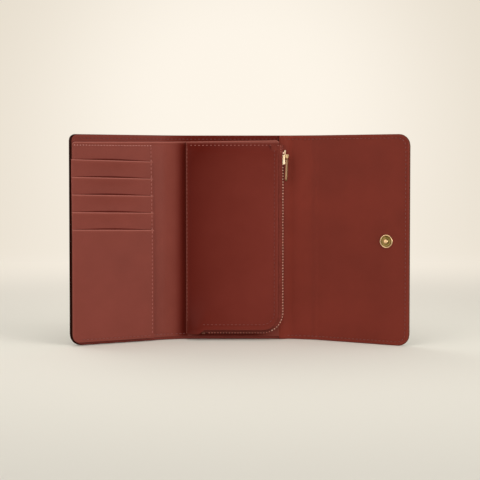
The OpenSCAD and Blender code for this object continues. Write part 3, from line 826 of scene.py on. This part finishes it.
def tooth_shape():
    """One tooth of the front row: along the zip, out of its face, and across it from its nib."""
    body = bmesh.new()
    bmesh.ops.create_cube(body, size=1.0)
    bmesh.ops.bevel(body, geom=body.edges[:], offset=0.16, segments=2, affect="EDGES")
    body.verts.ensure_lookup_table()
    shape = []
    for v in body.verts:
        nib = 0.5 - v.co.z
        shape.append((v.co.x * (1.1 - 0.2 * nib), v.co.y * (1.7 - 0.3 * nib), 0.85 + v.co.z * 2.5))
    faces = [[v.index for v in f.verts] for f in body.faces]
    body.free()
    return shape, faces


tooth_points, tooth_faces = tooth_shape()
# The front row uses a lit copy of the brass, as painted light, and a darker copy along the pocket's foot, as
# painted shade; the back row uses a darker copy, as painted shade.
for name, side, first, width, nib_at, finishes, node in (
        ("zip_teeth_front_row", 1, FIRST_TOOTH, 1.0, -0.4, [lit_tooth_brass, foot_painted_shade_brass],
         "zip_teeth_front"),
        ("zip_teeth_back_row", -1, FIRST_TOOTH + TOOTH_PITCH / 2, 0.7, 0.55, [painted_shade_brass],
         "zip_teeth_back")):
    points, faces = [], []
    lit_tooth_faces = 0
    l = first
    while l < zip_l - LAST_TOOTH:
        start = len(points)
        points += [zip_place(l + x, y * width, side * max(w, nib_at)) for x, y, w in tooth_points]
        faces += [[start + i for i in (face if side > 0 else face[::-1])] for face in tooth_faces]
        if l < down_l + turn_l * LIT_TOOTH_SHARE:
            lit_tooth_faces = len(faces)
        l += TOOTH_PITCH
    row = shown(name, (points, faces), finishes, 35)
    for polygon in row.data.polygons:
        polygon.material_index = int(polygon.index >= lit_tooth_faces and len(finishes) > 1)
    fitted(row, "brass", "middle_panel", node)


def softened(name, node, finish, body_name, width, reshape=None):
    """A solid's own shape with its edges rounded as a cast or stamped piece has them."""
    body = bmesh.new()
    body.from_mesh(frame["nodes"][node].data)
    bmesh.ops.remove_doubles(body, verts=body.verts, dist=0.002 * MM)
    bmesh.ops.dissolve_limit(body, angle_limit=math.radians(1), verts=body.verts, edges=body.edges)
    if reshape:
        for v in body.verts:
            reshape(v)
    piece = shown(name, body, [finish], 35)
    rounding = piece.modifiers.new("rounding", "BEVEL")
    rounding.width = width * MM
    rounding.segments = 3
    rounding.limit_method = "ANGLE"
    rounding.angle_limit = math.radians(35)
    rounding.harden_normals = True
    fitted(piece, "brass", body_name, node)


softened("zip_stops_top", "zip_top_stops", lit_tooth_brass, "middle_panel", 0.25)
softened("zip_stop_end", "zip_end_stop", painted_shade_brass, "middle_panel", 0.25)

# Slider: a cast brass body round the chain, wide at the end that takes the open rows, with a loop
# on its face. The pull is a flat brass tab on that loop, and hangs by its own weight.
NOSE_OUT = 1.85
PULL_HANG_IN = 0.8
slider_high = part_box("zip_slider")[1]
softened("slider_body", "zip_slider", slider_highlight_brass, "slider", 0.4)
body = bmesh.new()
bmesh.ops.create_cube(body, size=1.0)
for v in body.verts:
    narrow = 1.0 if v.co.z > 0 else 0.7
    u, across, up = NOSE_OUT + v.co.x * 1.1 * narrow, v.co.y * 2.0 * narrow, v.co.z * 4.0
    v.co = zip_place(zip_top - slider_high.z / MM - 1.5 - up, u, across)
body.normal_update()
bmesh.ops.recalc_face_normals(body, faces=body.faces)
bmesh.ops.bevel(body, geom=body.edges[:], offset=0.3 * MM, segments=4, affect="EDGES")
fitted(shown("slider_nose", body, [slider_highlight_brass], 50), "brass", "slider")
softened("slider_loop", "slider_bail", snap_brass, "slider", 0.18)
pull_low, pull_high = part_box("pull_tab")


def pull_set(v):
    """The tab hangs in towards the chain."""
    down = max(pull_pin.z - v.co.z, 0) / (pull_high.z - pull_low.z)
    v.co -= Vector((math.cos(lean), -math.sin(lean), 0)) * PULL_HANG_IN * MM * down


softened("pull", "pull_tab", pull_brass, "pull", 0.3, pull_set)

# Snap: a stamped brass stud on the flap and the socket that it presses into on the card wing's
# outside. Each is clenched on a post from the other side of the leather.
SNAP_TURNS = 72
RING_IN, RING_OUT = 1.65, 3.8


def turned(name, profile, centre, axis, body_name, node, ring_shade_finish=None):
    """A turned brass piece from (radius, height) points, in millimetres, that stands on its centre.
    The ring between two radii on its face may have a darker finish of its own, as painted shade."""
    side = axis.orthogonal().normalized()
    other = axis.cross(side)
    body = bmesh.new()
    loops = []
    outward = [side * math.cos(a) + other * math.sin(a) for a in spaced(0, 2 * math.pi, SNAP_TURNS)[:-1]]
    for r, h in profile:
        loops.append([body.verts.new(centre + (way * r + axis * h) * MM) for way in outward])
    for first, second in zip(loops, loops[1:]):
        for k in range(SNAP_TURNS):
            n = (k + 1) % SNAP_TURNS
            body.faces.new((first[k], first[n], second[n], second[k]))
    bmesh.ops.remove_doubles(body, verts=body.verts, dist=0.001 * MM)
    body.normal_update()
    bmesh.ops.recalc_face_normals(body, faces=body.faces)
    piece = shown(name, body, [snap_brass, ring_shade_finish] if ring_shade_finish else [snap_brass], 50)
    if ring_shade_finish:
        for polygon in piece.data.polygons:
            spot = polygon.center - centre
            height = spot.dot(axis)
            r = (spot - axis * height).length / MM
            polygon.material_index = int(RING_IN < r < RING_OUT and height / MM > 0.1)
    fitted(piece, "brass", body_name, node)


def arc_points(r0, h0, r, start, end, count=6):
    """Points of a rounded lip about (r0, h0), from one angle to another."""
    angles = [math.radians(a) for a in spaced(start, end, count)]
    return [(max(r0 + r * math.cos(a), 0), h0 + r * math.sin(a)) for a in angles]


flap_out = Vector((panel_run[4].y, -panel_run[4].x, 0))
wing_out = Vector((-panel_run[0].y, panel_run[0].x, 0))
stud_centre = sum(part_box("snap_stud"), Vector()) / 2
stud_s = flap_start + (stud_centre - flap_crease).dot(panel_run[4]) / MM
snap_z = stud_centre.z / MM
stud_profile = [(0, 0), (4.7, 0)] + arc_points(4.3, 0.5, 0.5, -60, 130)
stud_profile += [(3.75, 0.6), (3.5, 0.42), (3.1, 0.3), (2.6, 0.28), (2.1, 0.36), (1.75, 0.6), (1.6, 1.0)]
stud_profile += [(1.66, 1.4)] + arc_points(1.0, 1.65, 0.78, -10, 90, 7)
stud_profile += [(0.6, 2.42), (0.25, 2.42), (0, 2.42)]
# The stud's sunken ring gets the darker brass, as painted shade in its recess.
turned("snap_stud_brass", stud_profile, place(stud_s, LINING_FACE + 0.04, snap_z), flap_out, "flap",
       "snap_stud", recess_shade_brass)
cap_profile = [(0, -0.02), (5.9, -0.02)] + arc_points(5.75, 0.35, 0.4, -80, 60)
cap_profile += [(5.2, 0.95), (4.0, 1.22), (2.5, 1.36), (1.2, 1.4), (0, 1.4)]
turned("snap_cap_brass", cap_profile, place(stud_s, -SHELL_T, snap_z), -flap_out, "flap", "snap_cap")
socket_s = wing_s(sum(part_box("snap_socket"), Vector()) / 2)
socket_profile = [(0, 0.3), (2.2, 0.3), (2.25, 0.5), (2.25, 1.7)] + arc_points(2.65, 1.8, 0.4, 180, 40)
socket_profile += [(3.4, 1.8), (4.0, 1.5), (4.3, 1.0)] + arc_points(4.8, 0.45, 0.4, 110, -60)
socket_profile += [(4.9, 0), (0, 0)]
turned("snap_socket_brass", socket_profile, place(socket_s, -SHELL_T, snap_z), wing_out, "card_wing",
       "snap_socket")
finish_solid("snap_socket_rivet", snap_brass)


# Stitches: waxed thread, one stitch every 2.9 mm, sunk a little into the leather at each hole.
# The wallet's edges, the pockets' sides and the coin pocket's top and front are sewn with it.
def thread(name, deep, light):
    made, tree, surface = new_material(name)
    spot = add_node(tree, "ShaderNodeTexCoord").outputs["Object"]
    surface.inputs["Roughness"].default_value = 0.6
    ply = add_node(tree, "ShaderNodeTexWave", {"Scale": 900.0, "Distortion": 1.0}, {"Vector": spot},
                   bands_direction="DIAGONAL").outputs["Fac"]
    tree.links.new(mixed(tree, ply, deep, light), surface.inputs["Base Color"])
    tree.links.new(relief(tree, 0.5, 0.05, ply), surface.inputs["Normal"])
    return made


STITCH_L = 1.8
STITCH_PITCH = 2.9
THREAD_R = 0.26
THREAD_RINGS = 6
THREAD_SIDES = 8
red_thread = thread("red_thread", (0.12, 0.022, 0.016), (0.24, 0.055, 0.042))
pale_thread = thread("pale_thread", (0.24, 0.06, 0.045), (0.42, 0.14, 0.11))
coin_thread = thread("coin_thread", (0.14, 0.021, 0.014), (0.18, 0.029, 0.020))
bill_thread = thread("bill_thread", (0.105, 0.018, 0.013), (0.15, 0.03, 0.022))
card_thread = thread("card_thread", (0.42, 0.15, 0.12), (0.66, 0.31, 0.26))
dark_thread = thread("dark_thread", (0.014, 0.008, 0.007), (0.04, 0.022, 0.018))


def stitches(name, route, finish, part, side=1, pitch=STITCH_PITCH, length=STITCH_L):
    """A row of stitches on the face along a route of (s, d, z) points. side is -1 on the outside."""
    spans = list(zip(route, route[1:]))
    lengths = [math.dist((a[0], a[2]), (b[0], b[2])) for a, b in spans]

    def along(t, lift=0):
        for (a, b), step in zip(spans, lengths):
            if t <= step or b is route[-1]:
                s, d, z = (p + (q - p) * min(t / step, 1) for p, q in zip(a, b))
                return place(s, d + lift, z)
            t -= step

    points, faces = [], []
    count = max(1, int((sum(lengths) - length) / pitch) + 1)
    lead = (sum(lengths) - (count - 1) * pitch - length) / 2
    for k in range(count):
        start = len(points)
        low, high = along(lead + k * pitch), along(lead + k * pitch + length)
        run = (high - low).normalized()
        up = (along(lead + k * pitch, side) - low).normalized()
        across = run.cross(up).normalized()
        for x in spaced(-1, 1, THREAD_RINGS - 1):
            fat = math.sqrt(max(1 - x ** 4, 0.04)) * THREAD_R * MM
            centre = (low + high) / 2 + run * x * length / 2 * MM + up * fat * 0.5
            for q in range(THREAD_SIDES):
                a = 2 * math.pi * q / THREAD_SIDES
                points.append(centre + (across * math.cos(a) + up * math.sin(a) * 0.8) * fat)
        for j in range(THREAD_RINGS - 1):
            a, b = start + j * THREAD_SIDES, start + (j + 1) * THREAD_SIDES
            for q in range(THREAD_SIDES):
                r = (q + 1) % THREAD_SIDES
                faces.append((a + q, b + q, b + r, a + r))
        faces.append(tuple(range(start, start + THREAD_SIDES)))
        faces.append(tuple(reversed(range(len(points) - THREAD_SIDES, len(points)))))
    fitted(shown(name, (points, faces), [finish]), "cloth", part)


def straight(s_from, s_to, d, z):
    return [(s_from, d, z), (s_to, d, z)]


def corner_route(s_end, inward, face_d, s_from):
    """From the middle of a panel along the top, round a free end and back along the foot."""
    r = CORNER_R - SEAM_IN
    points = [(s_from, face_d, seam_top)]
    for start, centre_z in ((90, seam_top - r), (0, seam_foot + r)):
        for turn in range(0, 91, 15):
            a = math.radians(start - turn)
            s = s_end - inward * r + inward * r * math.cos(a)
            points.append((s, face_d, centre_z + r * math.sin(a)))
    points.append((s_from, face_d, seam_foot))
    return points


seam_top, seam_foot = panel_h - SEAM_IN - 0.4, SEAM_IN + 0.4
foot_seam = divider_foot + 1.9
flap_seam_end = flap_end - SEAM_IN - 0.4
wing_seam_end = wing_end + SEAM_IN + 0.4
stitches("seam_flap", corner_route(flap_seam_end, 1, LINING_FACE, half_right), red_thread, "flap_crease")
stitches("seam_flap_outside", corner_route(flap_seam_end, 1, -SHELL_T, half_right), dark_thread,
         "flap_crease", -1)
for label, z, left_route, left_finish in (
        ("top", seam_top, straight(half_spine, divider_end, LINING_FACE, seam_top), bill_thread),
        ("foot", seam_foot, straight(half_spine, coin_left - 0.6, DIVIDER_FACE, foot_seam), red_thread)):
    stitches(f"seam_{label}_right",
             [(flap_lining_start + 2, LINING_FACE + 0.45, z), (middle_w - 1.0, 0.9, z),
              (middle_w + 2, 0.55, z), (half_right, SPINE_LINING_FACE, z)],
             red_thread, "right_crease")
    stitches(f"seam_{label}_outside_right", straight(half_middle, half_right, -SHELL_T, z), dark_thread,
             "right_crease", -1)
    stitches(f"seam_{label}_outside_left", straight(half_spine, half_middle, -SHELL_T, z), dark_thread,
             "left_crease", -1)
    stitches(f"seam_{label}_left", left_route, left_finish, "left_crease")
stitches("seam_wing_outside", corner_route(wing_seam_end, -1, -SHELL_T, half_spine), dark_thread,
         "wing_crease", -1)
stitches("seam_wing_top", straight(wing_end + 6, half_spine, LINING_FACE, seam_top), bill_thread,
         "wing_crease")

# Card pocket seams: one row across the top of the card panel, one down the side that all five
# pockets share, one along the foot that goes on over the spine, and a short tack at each mouth.
side_seam = card_near - 1.3
card_seam_top = divider_top - 3.0
last_d = card_pockets[-1][1]
stitches("seam_card_top", straight(card_far + 1.8, card_near - 0.8, DIVIDER_FACE, card_seam_top),
         card_thread, "card_wing", pitch=2.2, length=1.2)
side_route = [(side_seam, DIVIDER_FACE + 0.02, card_seam_top)]
for mouth, face_d in card_pockets:
    side_route += [(side_seam, face_d - CARD_STEP, mouth + 0.3), (side_seam, face_d, mouth - 0.4)]
side_route.append((side_seam, last_d, divider_foot + 2.5))
stitches("seam_card_side", side_route, pale_thread, "card_wing")
stitches("seam_card_foot", straight(card_far + 6, card_near - 1.5, last_d, foot_seam), red_thread,
         "card_wing")
stitches("seam_wing_foot", straight(card_near + 1.0, half_spine, DIVIDER_FACE, foot_seam), red_thread,
         "wing_crease")
for i, (mouth, face_d) in enumerate(card_pockets):
    stitches(f"tack_{i + 1}", straight(card_near - 2.6, card_near - 0.3, face_d + 0.2, mouth - 1.0),
             pale_thread, "card_wing", length=1.6)


# Coin pocket seams: they hold its top and its left side to the divider and its front to the zip's
# front tape, and three short rows tack the tape's ends down at the zip's top.
def coin_route(points):
    return [(s, coin_depth(s, z) - 0.08, z) for s, z in points]


COIN_SEAM_IN = 2.6
across = spaced(coin_left + COIN_SEAM_IN, coin_right - 1.0, 40)
stitches("seam_coin_top", coin_route([(s, coin_top - COIN_SEAM_IN) for s in across]), pale_thread,
         "middle_panel", length=1.3)
up = spaced(coin_foot + 4, coin_top - 4, 60)
stitches("seam_coin_left", coin_route([(coin_left + 0.9, z) for z in up]), pale_thread, "middle_panel")
turn_s, turn_z = coin_right - COIN_CORNER_R, coin_foot + COIN_CORNER_R
seam_r = COIN_CORNER_R - COIN_SEAM_IN
zip_seam = [(coin_right - COIN_SEAM_IN, z) for z in spaced(coin_top - 6, turn_z, 40)]
zip_seam += [(turn_s + seam_r * math.cos(a), turn_z - seam_r * math.sin(a))
             for a in spaced(0, math.pi / 2, 8)[1:]]
zip_seam += [(s, coin_foot + COIN_SEAM_IN) for s in spaced(turn_s, 14, 20)[1:]]
stitches("seam_coin_zip", coin_route(zip_seam), coin_thread, "middle_panel")
tape_d = coin_front - COIN_T
for name, pitch, length, tacks in (
        ("seam_zip_top", 1.6, 1.1,
         [(chain_s - 0.45, chain_d + CHAIN_HALF + 0.02, zip_top + x) for x in (TAPE_END - 0.3, 1.0)]),
        ("seam_zip_tape_side", 1.9, 1.2,
         [(chain_s - 1.4, tape_d - 0.3, zip_top + x) for x in (TAPE_END - 0.4, -1.6)]),
        ("seam_zip_tape_end", 1.6, 1.1,
         [(chain_s - x, tape_d + 0.1 - 0.2 * (4 - x), zip_top + TAPE_END - 0.8) for x in (4.0, 1.2)])):
    stitches(name, tacks, pale_thread, "middle_panel", pitch=pitch, length=length)

# Floor and backdrop: a cream paper sweep that curves up behind the wallet. The floor is painted
# lighter near the wallet and darker away from it, a painted pool of light. Its far part glows
# softly for the camera and in reflections, brightest in the middle behind the wallet and dimmer to
# the sides, and lights nothing else.
SWEEP_WIDTH = 5.0
SWEEP_BACK = 0.9
SWEEP_R = 0.8
profile = [(-2.4, 0.0), (SWEEP_BACK, 0.0)]
for turn in range(6, 91, 6):
    a = math.radians(turn)
    profile.append((SWEEP_BACK + SWEEP_R * math.sin(a), SWEEP_R - SWEEP_R * math.cos(a)))
profile.append((SWEEP_BACK + SWEEP_R, 3.2))
points = [(x * SWEEP_WIDTH / 2, y, z) for y, z in profile for x in (-1, 1)]
faces = [(2 * i, 2 * i + 1, 2 * i + 3, 2 * i + 2) for i in range(len(profile) - 1)]
paper, tree, surface = new_material("sweep_paper")
spot = add_node(tree, "ShaderNodeTexCoord").outputs["Object"]
surface.inputs["Roughness"].default_value = 0.9
surface.inputs["Specular IOR Level"].default_value = 0.1
shift = add_node(tree, "ShaderNodeVectorMath", {1: (0, -1.5, -0.27)}, {0: spot}, operation="ADD")
flat = add_node(tree, "ShaderNodeVectorMath", {1: (1, 0, 1)}, {0: shift.outputs[0]}, operation="MULTIPLY")
away = add_node(tree, "ShaderNodeVectorMath", {}, {0: flat.outputs[0]}, operation="LENGTH")
# Painted light: the glow is brightest in the middle behind the wallet.
painted_wall_vignette = add_node(tree, "ShaderNodeMapRange", {"From Min": 0.12, "From Max": 0.62},
                {"Value": away.outputs["Value"]}, interpolation_type="SMOOTHSTEP")
wall_tone = mixed(tree, painted_wall_vignette.outputs["Result"], (0.985, 0.915, 0.81), (0.80, 0.73, 0.62))
fibre = add_node(tree, "ShaderNodeTexNoise", {"Scale": 700.0, "Detail": 3.0}, {"Vector": spot})
floor_tone = mixed(tree, fibre.outputs["Fac"], (0.80, 0.785, 0.72), (0.82, 0.805, 0.74))
# Painted light: the floor's colour darkens away from the wallet.
from_wallet = add_node(tree, "ShaderNodeVectorMath", {}, {0: spot}, operation="LENGTH")
painted_floor_vignette = add_node(tree, "ShaderNodeMapRange", {"From Min": 0.15, "From Max": 0.5},
                  {"Value": from_wallet.outputs["Value"]}, interpolation_type="SMOOTHSTEP")
floor_with_painted_vignette = mixed(tree, painted_floor_vignette.outputs["Result"], floor_tone, (0.62, 0.608, 0.56))
tree.links.new(floor_with_painted_vignette, surface.inputs["Base Color"])
glow = add_node(tree, "ShaderNodeEmission", {}, {"Color": wall_tone})
rays = add_node(tree, "ShaderNodeLightPath")
seen = add_node(tree, "ShaderNodeMath", {},
                {0: rays.outputs["Is Camera Ray"], 1: rays.outputs["Is Glossy Ray"]}, operation="MAXIMUM")
seen_through = add_node(tree, "ShaderNodeMath", {},
                        {0: seen.outputs[0], 1: rays.outputs["Is Transmission Ray"]}, operation="MAXIMUM")
split = add_node(tree, "ShaderNodeSeparateXYZ", {}, {0: spot})
far_off = add_node(tree, "ShaderNodeMapRange", {"From Min": -0.03, "From Max": 0.75},
                   {"Value": split.outputs["Y"]}, interpolation_type="SMOOTHSTEP")
wall_share = add_node(tree, "ShaderNodeMath", {}, {0: seen_through.outputs[0], 1: far_off.outputs["Result"]},
                      operation="MULTIPLY")
both = add_node(tree, "ShaderNodeMixShader", {},
                {0: wall_share.outputs[0], 1: surface.outputs[0], 2: glow.outputs[0]})
tree.links.new(both.outputs[0], tree.nodes["Material Output"].inputs["Surface"])
shown("sweep", (points, faces), [paper])


# Lights: a large soft box low on the right, a weaker one on the left, one above and in front, and
# one behind on the left that lightens the wallet's shadow.
def soft_box(name, spot, aim, size, power):
    light = bpy.data.lights.new(name, "AREA")
    light.shape = "RECTANGLE"
    light.size = light.size_y = size
    light.energy = power
    light.color = (1, 0.97, 0.93)
    lamp = bpy.data.objects.new(name, light)
    lamp.location = spot
    lamp.rotation_euler = (Vector(aim) - Vector(spot)).to_track_quat("-Z", "Y").to_euler()
    bpy.context.scene.collection.objects.link(lamp)


soft_box("key_box", (1.3, -0.9, 0.35), (0, 0, 0.08), 0.9, 18.5)
soft_box("fill_box", (-1.2, -1.3, 0.4), (0, 0, 0.08), 1.2, 9.5)
soft_box("top_box", (0.0, -0.4, 1.6), (0, -0.1, 0), 1.6, 9)
soft_box("back_box", (-0.9, 0.9, 0.9), (-0.1, 0.05, 0), 1.2, 6)
world = bpy.data.worlds.new("studio")
bpy.context.scene.world = world
world.use_nodes = True
background = world.node_tree.nodes["Background"]
background.inputs["Color"].default_value = (1.0, 0.96, 0.91, 1)
background.inputs["Strength"].default_value = 0.45

# Camera: level with the upper third of the wallet and about 0.85 m in front of it. It is tipped
# down by two degrees, and the shift puts the horizon back at its own height in the picture.
FRAME_PX = 480
FOCAL_PX = 1150
HORIZON_PX = 171
SENSOR_W = 36
CAMERA_AWAY = 845.6
CAMERA_S = 41.2
CAMERA_Z = 123.9
CAMERA_DIP = math.radians(2.0)
camera_data = bpy.data.cameras.new("camera")
camera_data.sensor_width = SENSOR_W
camera_data.lens = SENSOR_W * FOCAL_PX / FRAME_PX
camera_data.shift_y = -(FRAME_PX / 2 - HORIZON_PX - FOCAL_PX * math.tan(CAMERA_DIP)) / FRAME_PX
camera = bpy.data.objects.new("camera", camera_data)
camera.location = (left_crease.x + CAMERA_S * MM, left_crease.y - CAMERA_AWAY * MM, CAMERA_Z * MM)
camera.rotation_euler = (math.pi / 2 - CAMERA_DIP, 0, 0)
bpy.context.scene.collection.objects.link(camera)
bpy.context.scene.camera = camera
bpy.context.scene.view_settings.view_transform = "Standard"
